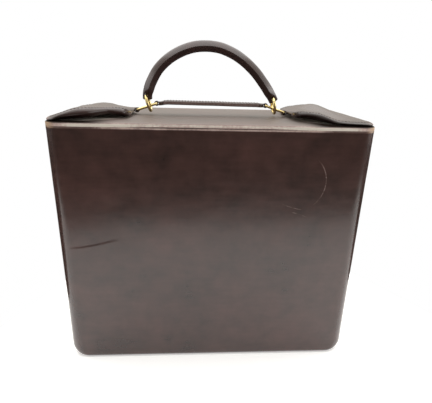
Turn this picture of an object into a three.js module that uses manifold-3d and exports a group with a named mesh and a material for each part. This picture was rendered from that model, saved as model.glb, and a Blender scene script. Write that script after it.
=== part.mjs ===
// A leather vanity case: a box with a hinged lid, two arched leather ears on the lid,
// brass links and rings at the ears' tips, a narrow strap between them and a rolled handle.
// Millimetres, +Z up, +X to the right of the hinge face, which looks towards -Y.
// The origin is the middle of the base, on the surface that the case stands on.

import * as THREE from 'three';
import { mergeVertices } from 'three/addons/utils/BufferGeometryUtils.js';
import Module from 'manifold-3d';

const wasm = await Module();
wasm.setup();

// Driving dimensions

const GAP = 0.3;                       // clearance between neighbouring pieces

const CASE = {
  halfX: 150,                          // half of the width
  halfY: 72.5,                         // half of the depth
  height: 248.8,                       // base to the top of the walls
  wall: 3,
  cornerRadius: 14,                    // upright corners, seen from above
  baseRoundX: 12.5,                    // rounding of the base towards the two ends
  baseRoundY: 5,                       // rounding of the base towards the two faces
  rimRound: 2,                         // rounding of the walls' top edge
};

const LID = { thickness: 3.4, seatGap: 0.4, edgeRound: 1.6 };
const lidUnder = CASE.height + LID.seatGap;
const lidTop = lidUnder + LID.thickness;

// Heights of the ears, straps and metalwork below are measured from the lid's upper face.

const LINK = {
  outerX: 78, outerZ: 4.2,             // middle of the wire at the ear's end
  innerX: 57, innerZ: 11.2,            // middle of the wire at the strap's end
  halfWidth: 3.4,                      // long axis to the middle of the wire
  wire: 1.3,                           // radius of the wire
};

const RING = { x: 65.8, radius: 7.9, wire: 1.5, aboveLink: 3 };
const linkSlope = (LINK.innerZ - LINK.outerZ) / (LINK.outerX - LINK.innerX);
const ringZ = LINK.outerZ + linkSlope * (LINK.outerX - RING.x) + RING.aboveLink;

// Leather folded round the end of a link; inset moves it from the link's end towards its middle.
const LOOP = { inner: 2.2, outer: 3.8, width: 3, inset: 0.3 };

// The band of the strap; rise lifts its middle above the middle of its end loops.
const STRAP = { shoulderX: 51, neckX: 55, width: 12, thickness: 4, rise: 0.8 };

const HANDLE = {
  halfWidth: 4.9,                      // middle line to the outside of the bend
  innerHalfWidth: 5.9,                 // middle line to the inside of the bend, on the rolled part
  halfDepth: 5,
  tabHalfDepth: 1.5,
  tabTop: 18,                          // the flat tab ends here and the roll begins
  bodyFoot: 27,                        // the roll is full from here up
};

// Middle line of the handle from its left end to its right end. The left leg is the steeper one.
const HANDLE_LINE = [
  { x: -66.5, z: 14.6 },
  { x: -66.2, z: 22 },
  { x: -62.5, z: 32.8 },
  { x: -53.8, z: 46.8 },
  { x: -40, z: 58.4 },
  { x: -23, z: 66 },
  { x: -6.4, z: 68.3 },
  { x: 10.5, z: 66.2 },
  { x: 27.7, z: 58.5 },
  { x: 42.9, z: 46.6 },
  { x: 54.5, z: 33.4 },
  { x: 62.5, z: 21.8 },
  { x: 66.3, z: 15 },
];

// Share of the full half width at the rounded ends, by distance along the middle line.
const HANDLE_ENDS = [
  { along: 0, width: 0.45 },
  { along: 0.8, width: 0.72 },
  { along: 2.2, width: 0.93 },
  { along: 4.5, width: 1 },
];

const EAR = {
  thickness: 2.2,
  roll: 9,                             // depth of the rounded shoulder at each edge
  rollShare: 0.3,                      // the shoulder takes no more of the way to the edge than this
  tuck: 50,                            // how far a tall edge turns in below its widest point, in degrees
  tuckFrom: 2.5, tuckFull: 6,          // heights of an edge at which the tuck begins and is full
  rollSteps: 5,
  topSteps: 5,
  tabFrom: 79.9, tabTo: 85.5,          // the narrow tab that joins the tip to its loop
  tabUnder: 4.6, tabTop: 6.8,
};

// Sections of each ear from the side of the case to its tip. x is measured from the middle of the case.
// near and far are the distances from the middle to the two edges along Y. nearRidge and farRidge are
// the heights of the shoulders, middle the height between them and lip that of the turned-down edges.
const EAR_LEFT = [
  { x: 148.4, near: 60.5, far: 60.5, nearRidge: 2.9, middle: 2.9, farRidge: 2.9, lip: 0.3 },
  { x: 146, near: 64.5, far: 64.5, nearRidge: 3.1, middle: 3, farRidge: 2.9, lip: 0.3 },
  { x: 140, near: 68, far: 67, nearRidge: 5, middle: 4.2, farRidge: 3.6, lip: 0.8 },
  { x: 132, near: 68.5, far: 66, nearRidge: 8.4, middle: 6.4, farRidge: 4.8, lip: 1.6 },
  { x: 124, near: 68, far: 65, nearRidge: 10.8, middle: 9, farRidge: 5.6, lip: 2.2 },
  { x: 115, near: 64.5, far: 60, nearRidge: 11.6, middle: 10.6, farRidge: 5.6, lip: 2.6 },
  { x: 109, near: 60, far: 54, nearRidge: 11.2, middle: 10.6, farRidge: 4.8, lip: 3 },
  { x: 104, near: 54, far: 47, nearRidge: 10.8, middle: 10.2, farRidge: 4.2, lip: 3.8 },
  { x: 98, near: 47, far: 38, nearRidge: 10.6, middle: 8.8, farRidge: 3.6, lip: 4 },
  { x: 91, near: 43.5, far: 28, nearRidge: 10.2, middle: 7.6, farRidge: 3.8, lip: 2.6 },
  { x: 85, near: 41.5, far: 18, nearRidge: 9.2, middle: 6.8, farRidge: 4.4, lip: 1.4 },
  { x: 82, near: 37, far: 13, nearRidge: 7, middle: 6.4, farRidge: 4.8, lip: 1.2 },
  { x: 80.4, near: 28, far: 10, nearRidge: 4.4, middle: 6, farRidge: 5, lip: 1.2 },
];
const EAR_RIGHT = [
  { x: 148.4, near: 60.5, far: 60.5, nearRidge: 2.9, middle: 2.9, farRidge: 2.9, lip: 0.3 },
  { x: 146, near: 64.5, far: 64.5, nearRidge: 3, middle: 3, farRidge: 3, lip: 0.4 },
  { x: 140, near: 68, far: 67, nearRidge: 3.2, middle: 3.9, farRidge: 4, lip: 0.8 },
  { x: 132, near: 68.5, far: 66, nearRidge: 3.4, middle: 6, farRidge: 6, lip: 1.1 },
  { x: 124, near: 68, far: 65, nearRidge: 3.6, middle: 9.2, farRidge: 8, lip: 1.2 },
  { x: 115, near: 65, far: 61, nearRidge: 4.4, middle: 12.6, farRidge: 9, lip: 1.2 },
  { x: 109, near: 60, far: 56, nearRidge: 6.2, middle: 13.8, farRidge: 9, lip: 1.2 },
  { x: 103, near: 53, far: 51, nearRidge: 8.4, middle: 13.2, farRidge: 8.8, lip: 1.4 },
  { x: 98, near: 48, far: 47, nearRidge: 9.2, middle: 11.4, farRidge: 8.4, lip: 2.4 },
  { x: 91, near: 43.5, far: 43, nearRidge: 9.5, middle: 9, farRidge: 8, lip: 3.4 },
  { x: 85, near: 41.5, far: 40, nearRidge: 9.2, middle: 7.4, farRidge: 6.6, lip: 3.8 },
  { x: 82, near: 37, far: 36, nearRidge: 8.2, middle: 6.6, farRidge: 6, lip: 3.6 },
  { x: 80.4, near: 28, far: 27, nearRidge: 6.6, middle: 6, farRidge: 5.2, lip: 3 },
];

// Materials

function leather() {
  return new THREE.MeshStandardMaterial({ color: 0x3a2622, roughness: 0.4, metalness: 0 });
}

function brass() {
  return new THREE.MeshStandardMaterial({ color: 0xd8b25a, roughness: 0.25, metalness: 1 });
}

// Solids for cutting and joining

function toSolid(geometry) {
  const bare = geometry.clone();
  bare.deleteAttribute('normal');
  bare.deleteAttribute('uv');
  const merged = mergeVertices(bare, 1e-4);
  const vertProperties = new Float32Array(merged.attributes.position.array);
  const triVerts = new Uint32Array(merged.index.array);
  return new wasm.Manifold(new wasm.Mesh({ numProp: 3, vertProperties, triVerts }));
}

function toGeometry(solid) {
  const { vertProperties, triVerts } = solid.getMesh();
  const geometry = new THREE.BufferGeometry();
  geometry.setAttribute('position', new THREE.BufferAttribute(vertProperties, 3));
  geometry.setIndex(new THREE.BufferAttribute(triVerts, 1));
  geometry.computeVertexNormals();
  return geometry;
}

// A closed body through rings of points, all of one count, that run anticlockwise
// when seen from beyond the last ring. capTriangles closes both ends.
function loft(rings, capTriangles) {
  const count = rings[0].length;
  const index = [];
  for (let row = 0; row + 1 < rings.length; row += 1) {
    for (let i = 0; i < count; i += 1) {
      const a = row * count + i;
      const b = row * count + (i + 1) % count;
      index.push(a, b, b + count, a, b + count, a + count);
    }
  }
  const last = (rings.length - 1) * count;
  for (const [a, b, c] of capTriangles) {
    index.push(a, c, b);
    index.push(last + a, last + b, last + c);
  }
  const geometry = new THREE.BufferGeometry();
  geometry.setFromPoints(rings.flat());
  geometry.setIndex(index);
  geometry.computeVertexNormals();
  return geometry;
}

function fanCap(count) {
  return Array.from({ length: count - 2 }, (_, i) => [0, i + 1, i + 2]);
}

// Box and lid: rounded rectangles stacked along Z

const CORNER_STEPS = 6;

function roundedRectangle(halfX, halfY, radius, z) {
  const points = [];
  for (let corner = 0; corner < 4; corner += 1) {
    const centreX = (corner === 0 || corner === 3 ? 1 : -1) * (halfX - radius);
    const centreY = (corner < 2 ? 1 : -1) * (halfY - radius);
    for (let step = 0; step <= CORNER_STEPS; step += 1) {
      const turn = (corner + step / CORNER_STEPS) * Math.PI / 2;
      const x = centreX + radius * Math.cos(turn);
      const y = centreY + radius * Math.sin(turn);
      points.push(new THREE.Vector3(x, y, z));
    }
  }
  return points;
}

// How far an edge rounded by the given radius is drawn in, at a height above its foot.
function drawnIn(radius, height) {
  const up = Math.min(height / radius, 1);
  return radius * (1 - Math.sqrt(1 - (1 - up) ** 2));
}

// The outline of the case at a height, drawn in by the given amounts.
function caseRing(insetX, insetY, z) {
  const radius = CASE.cornerRadius - Math.min(insetX, insetY);
  return roundedRectangle(CASE.halfX - insetX, CASE.halfY - insetY, radius, z);
}

function baseRing(z, wall) {
  return caseRing(drawnIn(CASE.baseRoundX, z) + wall, drawnIn(CASE.baseRoundY, z) + wall, z + wall);
}

function makeCaseBody() {
  const { baseRoundX, rimRound, wall, height } = CASE;
  const outer = [0, 0.04, 0.13, 0.26, 0.43, 0.7, 1].map((share) => baseRing(share * baseRoundX, 0));
  for (const share of [1, 0.6, 0.25, 0]) {
    const inset = drawnIn(rimRound, share * rimRound);
    outer.push(caseRing(inset, inset, height - share * rimRound));
  }
  const inner = [0, 0.12, 0.4, 1].map((share) => baseRing(share * baseRoundX, wall));
  inner.push(caseRing(wall, wall, height + wall));
  const cap = fanCap(outer[0].length);
  return toGeometry(toSolid(loft(outer, cap)).subtract(toSolid(loft(inner, cap))));
}

function makeLid() {
  const { thickness, edgeRound } = LID;
  const shares = [0, 0.1, 0.35, 1];
  const lower = shares.map((share) => {
    const inset = drawnIn(edgeRound, share * edgeRound);
    return caseRing(inset, inset, lidUnder + share * edgeRound);
  });
  const upper = shares.reverse().map((share) => {
    const inset = drawnIn(edgeRound, share * edgeRound);
    return caseRing(inset, inset, lidUnder + thickness - share * edgeRound);
  });
  return loft([...lower, ...upper], fanCap(lower[0].length));
}

// Leather loops, ears and strap

function makeLoop(x, z) {
  const profile = new THREE.Shape();
  profile.absarc(0, 0, LOOP.outer, 0, Math.PI * 2);
  const hole = new THREE.Path();
  hole.absarc(0, 0, LOOP.inner, 0, Math.PI * 2);
  profile.holes.push(hole);
  const options = { depth: LOOP.width, bevelEnabled: false, curveSegments: 9 };
  const loop = new THREE.ExtrudeGeometry(profile, options);
  loop.translate(0, 0, -LOOP.width / 2);
  loop.rotateX(Math.PI / 2);
  loop.translate(x, 0, z);
  return loop;
}

// Half of an ear's arch from an edge to the middle: the rounded shoulder, then the slope between
// shoulder and middle. inset draws the arch in by the leather's thickness.
function earHalf({ middle, lip }, reach, ridge, inset) {
  const edge = reach - inset;
  const roll = Math.min(EAR.roll, EAR.rollShare * reach);
  const foot = Math.min(lip, ridge - EAR.thickness);
  const tuck = -EAR.tuck * THREE.MathUtils.smoothstep(ridge - foot, EAR.tuckFrom, EAR.tuckFull);
  const lowest = Math.sin(THREE.MathUtils.degToRad(tuck));
  const points = [];
  for (let step = 0; step <= EAR.rollSteps; step += 1) {
    const turn = THREE.MathUtils.degToRad(tuck + (90 - tuck) * step / EAR.rollSteps);
    const up = (Math.sin(turn) - lowest) / (1 - lowest);
    points.push({ across: edge - roll * (1 - Math.cos(turn)), height: foot + (ridge - inset - foot) * up });
  }
  for (let step = EAR.topSteps - 1; step >= 0; step -= 1) {
    const out = step / EAR.topSteps;
    const blend = THREE.MathUtils.smoothstep(out, 0, 1);
    points.push({ across: out * (edge - roll), height: middle - inset + (ridge - middle) * blend });
  }
  return points;
}

// One whole arch of an ear across Y, from its near foot to its far foot.
function earArch(x, section, inset) {
  const near = earHalf(section, section.near, section.nearRidge, inset);
  const far = earHalf(section, section.far, section.farRidge, inset).reverse().slice(1);
  const nearPoints = near.map(({ across, height }) => new THREE.Vector3(x, -across, height));
  const farPoints = far.map(({ across, height }) => new THREE.Vector3(x, across, height));
  return [...nearPoints, ...farPoints];
}

function makeEar(side) {
  const sections = side > 0 ? EAR_RIGHT : [...EAR_LEFT].reverse();
  const rings = sections.map((section) => {
    const outside = earArch(side * section.x, section, 0);
    const inside = earArch(side * section.x, section, EAR.thickness);
    return [...outside, ...inside.reverse()];
  });
  const last = rings[0].length - 1;
  const cap = [];
  for (let i = 0; 2 * i + 1 < last; i += 1) {
    cap.push([i, i + 1, last - i - 1], [i, last - i - 1, last - i]);
  }
  const tab = new THREE.BoxGeometry(EAR.tabTo - EAR.tabFrom, LOOP.width, EAR.tabTop - EAR.tabUnder);
  tab.translate(side * (EAR.tabFrom + EAR.tabTo) / 2, 0, (EAR.tabUnder + EAR.tabTop) / 2);
  const loop = makeLoop(side * (LINK.outerX - LOOP.inset), LINK.outerZ);
  return toGeometry(toSolid(loft(rings, cap)).add(toSolid(tab)).add(toSolid(loop)));
}

function makeStrap() {
  const { shoulderX, neckX, width, thickness, rise } = STRAP;
  const outline = new THREE.Shape();
  outline.moveTo(-neckX, -LOOP.width / 2);
  outline.lineTo(-shoulderX, -width / 2);
  outline.lineTo(shoulderX, -width / 2);
  outline.lineTo(neckX, -LOOP.width / 2);
  outline.lineTo(neckX, LOOP.width / 2);
  outline.lineTo(shoulderX, width / 2);
  outline.lineTo(-shoulderX, width / 2);
  outline.lineTo(-neckX, LOOP.width / 2);
  outline.closePath();
  const band = new THREE.ExtrudeGeometry(outline, { depth: thickness, bevelEnabled: false });
  band.translate(0, 0, LINK.innerZ + rise - thickness / 2);
  let strap = toSolid(band);
  for (const side of [-1, 1]) {
    strap = strap.add(toSolid(makeLoop(side * (LINK.innerX + LOOP.inset), LINK.innerZ)));
  }
  return toGeometry(strap);
}

// Brass links and rings

const WIRE_SIDES = 8;

// A round-ended link: a ring of wire whose two halves are drawn apart along X, then tilted.
function makeLink(side) {
  const length = Math.hypot(LINK.outerX - LINK.innerX, LINK.innerZ - LINK.outerZ);
  const straight = length / 2 - LINK.halfWidth;
  const link = new THREE.TorusGeometry(LINK.halfWidth, LINK.wire, WIRE_SIDES, 22);
  const position = link.attributes.position;
  for (let i = 0; i < position.count; i += 1) {
    position.setX(i, position.getX(i) + Math.sign(position.getX(i)) * straight);
  }
  link.rotateY(side * Math.atan(linkSlope));
  link.translate(side * (LINK.outerX + LINK.innerX) / 2, 0, (LINK.outerZ + LINK.innerZ) / 2);
  return link;
}

function makeRing(side, wire) {
  const ring = new THREE.TorusGeometry(RING.radius, wire, WIRE_SIDES, 28);
  ring.rotateY(Math.PI / 2);
  ring.translate(side * RING.x, 0, ringZ);
  return ring;
}

// Handle: a rolled leather bar with flat tabs at its ends, pierced for the rings

const HANDLE_SIDES = 14;
const HANDLE_STEPS = 36;

function endWidth(along) {
  const next = HANDLE_ENDS.findIndex((row) => row.along > along);
  if (next < 0) return 1;
  const a = HANDLE_ENDS[next - 1];
  const b = HANDLE_ENDS[next];
  return a.width + (b.width - a.width) * (along - a.along) / (b.along - a.along);
}

function makeHandle() {
  const line = new THREE.CatmullRomCurve3(HANDLE_LINE.map(({ x, z }) => new THREE.Vector3(x, 0, z)));
  const length = line.getLength();
  const ends = HANDLE_ENDS.map((row) => row.along);
  const between = length - 2 * ends.at(-1);
  const stations = [...ends];
  for (let step = 1; step < HANDLE_STEPS; step += 1) {
    stations.push(ends.at(-1) + between * step / HANDLE_STEPS);
  }
  stations.push(...[...ends].reverse().map((along) => length - along));
  const rings = stations.map((along) => {
    const middle = line.getPointAt(along / length);
    const tangent = line.getTangentAt(along / length);
    const endShare = endWidth(Math.min(along, length - along));
    const rolled = THREE.MathUtils.smoothstep(middle.z, HANDLE.tabTop, HANDLE.bodyFoot);
    const halfDepth = THREE.MathUtils.lerp(HANDLE.tabHalfDepth, HANDLE.halfDepth, rolled);
    const inward = THREE.MathUtils.lerp(HANDLE.halfWidth, HANDLE.innerHalfWidth, rolled);
    const ring = [];
    for (let i = 0; i < HANDLE_SIDES; i += 1) {
      const turn = 2 * Math.PI * i / HANDLE_SIDES;
      const reach = endShare * (Math.sin(turn) < 0 ? inward : HANDLE.halfWidth);
      const out = reach * Math.sin(turn);
      const y = halfDepth * Math.cos(turn);
      ring.push(new THREE.Vector3(middle.x - tangent.z * out, y, middle.z + tangent.x * out));
    }
    return ring;
  });
  let handle = toSolid(loft(rings, fanCap(HANDLE_SIDES)));
  for (const side of [-1, 1]) {
    handle = handle.subtract(toSolid(makeRing(side, RING.wire + GAP)));
  }
  return toGeometry(handle);
}

// Assembly

function addPiece(group, name, geometry, material) {
  const piece = new THREE.Mesh(geometry, material);
  piece.name = name;
  group.add(piece);
}

const vanityCase = new THREE.Group();
addPiece(vanityCase, 'case_body', makeCaseBody(), leather());
addPiece(vanityCase, 'lid', makeLid(), leather());

const onLid = new THREE.Group();
onLid.position.z = lidTop;
vanityCase.add(onLid);
for (const [side, word] of [[-1, 'left'], [1, 'right']]) {
  addPiece(onLid, `ear_${word}`, makeEar(side), leather());
  addPiece(onLid, `link_${word}`, makeLink(side), brass());
  addPiece(onLid, `handle_ring_${word}`, makeRing(side, RING.wire), brass());
}
addPiece(onLid, 'strap', makeStrap(), leather());
addPiece(onLid, 'handle', makeHandle(), leather());

export default vanityCase;
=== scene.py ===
# %% [markdown]
# A leather vanity case. The real one is board covered with smooth dark brown calf: a tall box with
# rounded corners, a thin lid hinged at the face we look at, two arched leather ears on the lid, and a
# rolled handle on brass rings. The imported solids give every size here. This lesson puts the finish on:
# finer leather with dents and worn edges, bent wire, and the sewing.

# %% Load the frame
import math
from collections import namedtuple

import bmesh
import bpy
from mathutils import Matrix, Vector, noise


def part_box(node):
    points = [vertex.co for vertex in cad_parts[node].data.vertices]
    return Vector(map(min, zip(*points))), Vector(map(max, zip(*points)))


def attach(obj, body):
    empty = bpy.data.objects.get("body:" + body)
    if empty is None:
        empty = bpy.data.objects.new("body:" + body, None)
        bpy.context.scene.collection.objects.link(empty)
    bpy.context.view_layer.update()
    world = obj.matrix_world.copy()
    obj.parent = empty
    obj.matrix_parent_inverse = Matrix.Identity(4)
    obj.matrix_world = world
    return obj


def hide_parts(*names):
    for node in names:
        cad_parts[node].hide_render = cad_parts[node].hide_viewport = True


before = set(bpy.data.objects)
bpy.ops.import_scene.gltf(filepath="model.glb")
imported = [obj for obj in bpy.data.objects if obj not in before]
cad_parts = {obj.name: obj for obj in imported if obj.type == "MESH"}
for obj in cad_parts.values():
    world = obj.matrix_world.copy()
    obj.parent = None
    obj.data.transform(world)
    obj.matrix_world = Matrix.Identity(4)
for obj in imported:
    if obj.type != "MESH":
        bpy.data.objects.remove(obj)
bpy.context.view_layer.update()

MM = 0.001
print("solids:", sorted(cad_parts))

# %% [markdown]
# Work in millimetres, as a leather worker would, and turn them into Blender's metres only when a mesh
# is made. The sizes below are measured from the solids, so the finish can't drift away from them.

# %% Sizes read from the solids
HALF_X, HALF_Y, CASE_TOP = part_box("case_body")[1] / MM
LID_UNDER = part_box("lid")[0].z / MM
LID_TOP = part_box("lid")[1].z / MM
print(f"case {2 * HALF_X:.0f} x {2 * HALF_Y:.0f} x {CASE_TOP:.1f} mm, lid top at {LID_TOP:.1f} mm")

# %% [markdown]
# The camera stands a little left of the middle, just above the lid, and so near that the upright sides
# lean in towards the base. A short lens close by gives that lean. A long lens from further off would
# leave the sides parallel.

# %% Camera
CAMERA_PLACE = Vector((-18.9, -396.6, 297.5))
CAMERA_YAW, CAMERA_PITCH, CAMERA_ROLL = 3.81, 19.72, 1.55
FOCAL_PIXELS, IMAGE_WIDTH = 365, 432


def turned(degrees, axis):
    return Matrix.Rotation(math.radians(degrees), 4, axis)


def add_object(name, data):
    made = bpy.data.objects.new(name, data)
    bpy.context.scene.collection.objects.link(made)
    return made


lens = bpy.data.cameras.new("camera")
lens.sensor_fit = "HORIZONTAL"
lens.lens = lens.sensor_width * FOCAL_PIXELS / IMAGE_WIDTH
lens.clip_start = 0.01
camera = add_object("camera", lens)
aim = turned(-CAMERA_YAW, "Z") @ turned(90 - CAMERA_PITCH, "X") @ turned(CAMERA_ROLL, "Z")
camera.matrix_world = Matrix.Translation(CAMERA_PLACE * MM) @ aim
bpy.context.scene.camera = camera
print(f"camera {lens.lens:.1f} mm lens, {CAMERA_PLACE.z:.0f} mm above the floor")

# %% [markdown]
# Smooth calf is dark, so what we see is mostly reflection: white paper in the lower half of the face, a
# dim room in the upper half, a pale wall in the lid. A picture of a room could give that, but four
# colours mixed by direction are easier to tune: bright above, pale straight behind, dim in front and
# dark below the horizon. The camera itself sees plain white, which a Light Path node allows. The helpers
# find their node tree from a socket, as its id_data.


# %% Node helpers and surround
def feed(node, inputs):
    """Fills a node's inputs: each takes a value, or a socket to link from."""
    for key, value in inputs.items():
        if isinstance(value, bpy.types.NodeSocket):
            value.id_data.links.new(value, node.inputs[key])
        else:
            node.inputs[key].default_value = value


def add_node(tree, kind, inputs=None, **settings):
    made = tree.nodes.new(kind)
    for name, value in settings.items():
        setattr(made, name, value)
    feed(made, inputs or {})
    return made


def remap(value, low, high, to_low=0.0, to_high=1.0):
    """Maps a socket from low..high to to_low..to_high, held at both ends."""
    limits = {"Value": value, "From Min": low, "From Max": high, "To Min": to_low, "To Max": to_high}
    return add_node(value.id_data, "ShaderNodeMapRange", limits).outputs["Result"]


def calculate(operation, a, b=0.0):
    return add_node(a.id_data, "ShaderNodeMath", {0: a, 1: b}, operation=operation).outputs[0]


def mix_colour(factor, a, b):
    made = add_node(factor.id_data, "ShaderNodeMix", {0: factor, 6: a, 7: b}, data_type="RGBA")
    return made.outputs[2]


DARK_TABLE = (0.06, 0.054, 0.048, 1)
ROOM_LIGHT = (0.29, 0.275, 0.255, 1)
WALL_LIGHT = (0.55, 0.515, 0.46, 1)
CEILING_LIGHT = (1.5, 1.46, 1.38, 1)
WHITE = (1, 1, 1, 1)

world = bpy.data.worlds.new("studio")
bpy.context.scene.world = world
world.use_nodes = True
sky = world.node_tree
way = add_node(sky, "ShaderNodeTexCoord").outputs["Generated"]
to_x, to_y, to_z = add_node(sky, "ShaderNodeSeparateXYZ", {0: way}).outputs
straight = remap(calculate("ABSOLUTE", to_x), 0.65, 0.4)
behind = calculate("MULTIPLY", remap(to_y, -0.3, 0.5), straight)
not_in_front = remap(to_y, -0.45, 0.15, 0.04, 1.0)
above = calculate("MULTIPLY", remap(to_z, 0.14, 0.5), not_in_front)
below = remap(to_z, -0.02, -0.1)
surround = mix_colour(behind, ROOM_LIGHT, WALL_LIGHT)
surround = mix_colour(above, surround, CEILING_LIGHT)
surround = mix_colour(below, surround, DARK_TABLE)
seen = add_node(sky, "ShaderNodeLightPath").outputs["Is Camera Ray"]
feed(sky.nodes["Background"], {"Color": mix_colour(seen, surround, WHITE)})
bpy.context.scene.view_settings.view_transform = "Standard"
print("surround:", len(sky.nodes), "nodes")

# %% [markdown]
# One large soft light hangs over the set, a weak strip stands above the camera and a panel at each side,
# as in a small photo booth. The panels draw the light down the handle's legs. The floor is one sheet of
# white paper. It ends a little way in front, and its back corners are cut away, so that the upright
# corners of the case mirror something dark.

# %% Floor and lights
PAPER_CORNERS = (
    (-760, -300), (100, -470), (760, -470), (760, -190), (310, -30), (230, 100), (-200, 100),
    (-262, -55), (-760, -250))
SoftLight = namedtuple("SoftLight", "name place size_x size_y power")
LIGHTS = (
    SoftLight("overhead", (0, 0.3, 1.5), 2.2, 1.9, 20),
    SoftLight("front_strip", (0, -1.1, 1.45), 1.8, 0.45, 2.6),
    SoftLight("left_panel", (-1.3, -0.1, 0.5), 1.1, 0.8, 3.4),
    SoftLight("right_panel", (1.3, -0.1, 0.5), 1.1, 0.8, 7),
)
CASE_MIDDLE = Vector((0, 0, 0.2))

paper = bpy.data.materials.new("white_paper")
paper.use_nodes = True
feed(paper.node_tree.nodes["Principled BSDF"], {
    "Base Color": (0.93, 0.93, 0.92, 1), "Roughness": 0.9,
    "Emission Color": WHITE, "Emission Strength": 0.34})

corners = [Vector((x, y, 0)) * MM for x, y in PAPER_CORNERS]
floor_mesh = bpy.data.meshes.new("floor")
floor_mesh.from_pydata(corners, [], [range(len(corners))])
floor_mesh.materials.append(paper)
floor = add_object("floor", floor_mesh)

for row in LIGHTS:
    light = bpy.data.lights.new(row.name, "AREA")
    light.shape = "RECTANGLE"
    light.size, light.size_y = row.size_x, row.size_y
    light.energy = row.power
    stand = add_object(row.name, light)
    looking = (CASE_MIDDLE - Vector(row.place)).to_track_quat("-Z", "Y")
    stand.matrix_world = Matrix.Translation(row.place) @ looking.to_matrix().to_4x4()
print("lights:", ", ".join(row.name for row in LIGHTS))

# %% [markdown]
# Three simple materials first. The flesh side is the back of the leather: matt, a little lighter, with a
# short nap. It shows inside the case and under the lid. The brass is polished but tarnished in places,
# so noise mixes a bright tone with a dull one. The thread is dark and waxed.

# %% Flesh side, brass and thread
FLESH_DARK, FLESH_LIGHT, FLESH_NAP = (0.10, 0.055, 0.036, 1), (0.15, 0.085, 0.055, 1), (0.2, 0.12, 0.08, 1)
BRASS_BRIGHT, BRASS_DULL = (0.86, 0.70, 0.33, 1), (0.46, 0.34, 0.12, 1)
THREAD_DARK, THREAD_LIGHT = (0.03, 0.016, 0.012, 1), (0.075, 0.042, 0.03, 1)


def new_material(name):
    material = bpy.data.materials.new(name)
    material.use_nodes = True
    tree = material.node_tree
    place = add_node(tree, "ShaderNodeTexCoord").outputs["Object"]
    return material, tree, tree.nodes["Principled BSDF"], place


def noise_at(place, scale, detail, stretch=(1, 1, 1)):
    tree = place.id_data
    stretched = add_node(tree, "ShaderNodeMapping", {"Vector": place, "Scale": stretch}).outputs["Vector"]
    settings = {"Vector": stretched, "Scale": scale, "Detail": detail}
    return add_node(tree, "ShaderNodeTexNoise", settings).outputs["Fac"]


flesh, tree, shader, place = new_material("flesh_side")
nap = noise_at(place, 900, 3)
tone = remap(noise_at(place, 30, 4), 0.3, 0.7)
colour = mix_colour(tone, FLESH_DARK, FLESH_LIGHT)
colour = mix_colour(remap(nap, 0.3, 0.7, 0, 0.3), colour, FLESH_NAP)
bump = add_node(tree, "ShaderNodeBump", {"Height": nap, "Strength": 0.35, "Distance": 0.0002})
feed(shader, {"Base Color": colour, "Roughness": 0.85, "Normal": bump.outputs["Normal"]})

brass, tree, shader, place = new_material("brass")
tarnish = remap(noise_at(place, 260, 4), 0.45, 0.75)
colour = mix_colour(tarnish, BRASS_BRIGHT, BRASS_DULL)
polish = remap(noise_at(place, 900, 3), 0.3, 0.7, 0.1, 0.2)
feed(shader, {"Base Color": colour, "Roughness": polish, "Metallic": 1.0})

thread, tree, shader, place = new_material("thread")
colour = mix_colour(noise_at(place, 1500, 2), THREAD_DARK, THREAD_LIGHT)
feed(shader, {"Base Color": colour, "Roughness": 0.5})
print("materials:", flesh.name, brass.name, thread.name)

# %% [markdown]
# Box calf is nearly smooth: its pores are a third of a millimetre wide and very shallow, and it takes a
# soft polish. Slow changes of tone and signs of use keep it from looking like plastic. Three numbers on
# each point of a mesh set its colour: wear is rubbed, pink at first and then pale, and on the lid and the
# rim it also carries painted light and painted highlights; bare is rubbed down to tan hide; and the third
# is painted shade, dark and dull, along the ears' edges and on the lid beside them. They belong to the
# mesh, because only the mesh knows where its edges are. The hinge face has a few thin scratches as well.

# %% Leather
USE_AND_PAINTED_LIGHT = ("wear", "bare", "crease")
HIDE_DARK, HIDE_LIGHT = (0.019, 0.0108, 0.009, 1), (0.074, 0.034, 0.029, 1)
BARE_HIDE, PAINTED_SHADE_COLOUR = (0.43, 0.26, 0.125, 1), (0.012, 0.008, 0.0065, 1)
DUST_TONE = (1.0, 0.95, 0.82, 1)
WornTone = namedtuple("WornTone", "wear colour")
WORN_TONES = (
    WornTone(0.0, (0.17, 0.10, 0.085, 1)),
    WornTone(0.3, (0.52, 0.385, 0.35, 1)),
    WornTone(0.5, (0.70, 0.64, 0.56, 1)),
)
Scratch = namedtuple("Scratch", "centre radius width middle reach")
FACE_SCRATCHES = (
    Scratch((77, 200), 29.5, 0.7, (106, 199), 26),
    Scratch((98, 250), 78, 0.6, (76, 175), 11),
    Scratch((60, 96), 76, 0.5, (84, 168), 9),
)


def scratched(place, scratch):
    """1 on the scratch's arc on the hinge face, fading out away from its middle."""
    tree = place.id_data
    flat = add_node(tree, "ShaderNodeVectorMath", {0: place, 1: (1, 0, 1)}, operation="MULTIPLY").outputs[0]

    def distance(point):
        ends = {0: flat, 1: (point[0] * MM, 0, point[1] * MM)}
        return add_node(tree, "ShaderNodeVectorMath", ends, operation="DISTANCE").outputs["Value"]

    width, reach = scratch.width * MM, scratch.reach * MM
    off_arc = calculate("SUBTRACT", distance(scratch.centre), scratch.radius * MM)
    band = remap(calculate("ABSOLUTE", off_arc), width, 0.25 * width)
    arc = calculate("MULTIPLY", band, remap(distance(scratch.middle), reach, 0.6 * reach))
    depth = add_node(tree, "ShaderNodeSeparateXYZ", {0: place}).outputs["Y"]
    return calculate("MULTIPLY", arc, remap(depth, -0.06, -0.07))


def worn_colour(wear):
    ramp = add_node(wear.id_data, "ShaderNodeValToRGB", {"Fac": wear})
    for index, tone in enumerate(WORN_TONES):
        stops = ramp.color_ramp.elements
        stop = stops[index] if index < 2 else stops.new(tone.wear)
        stop.position, stop.color = tone.wear, tone.colour
    return ramp.outputs["Color"]


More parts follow.
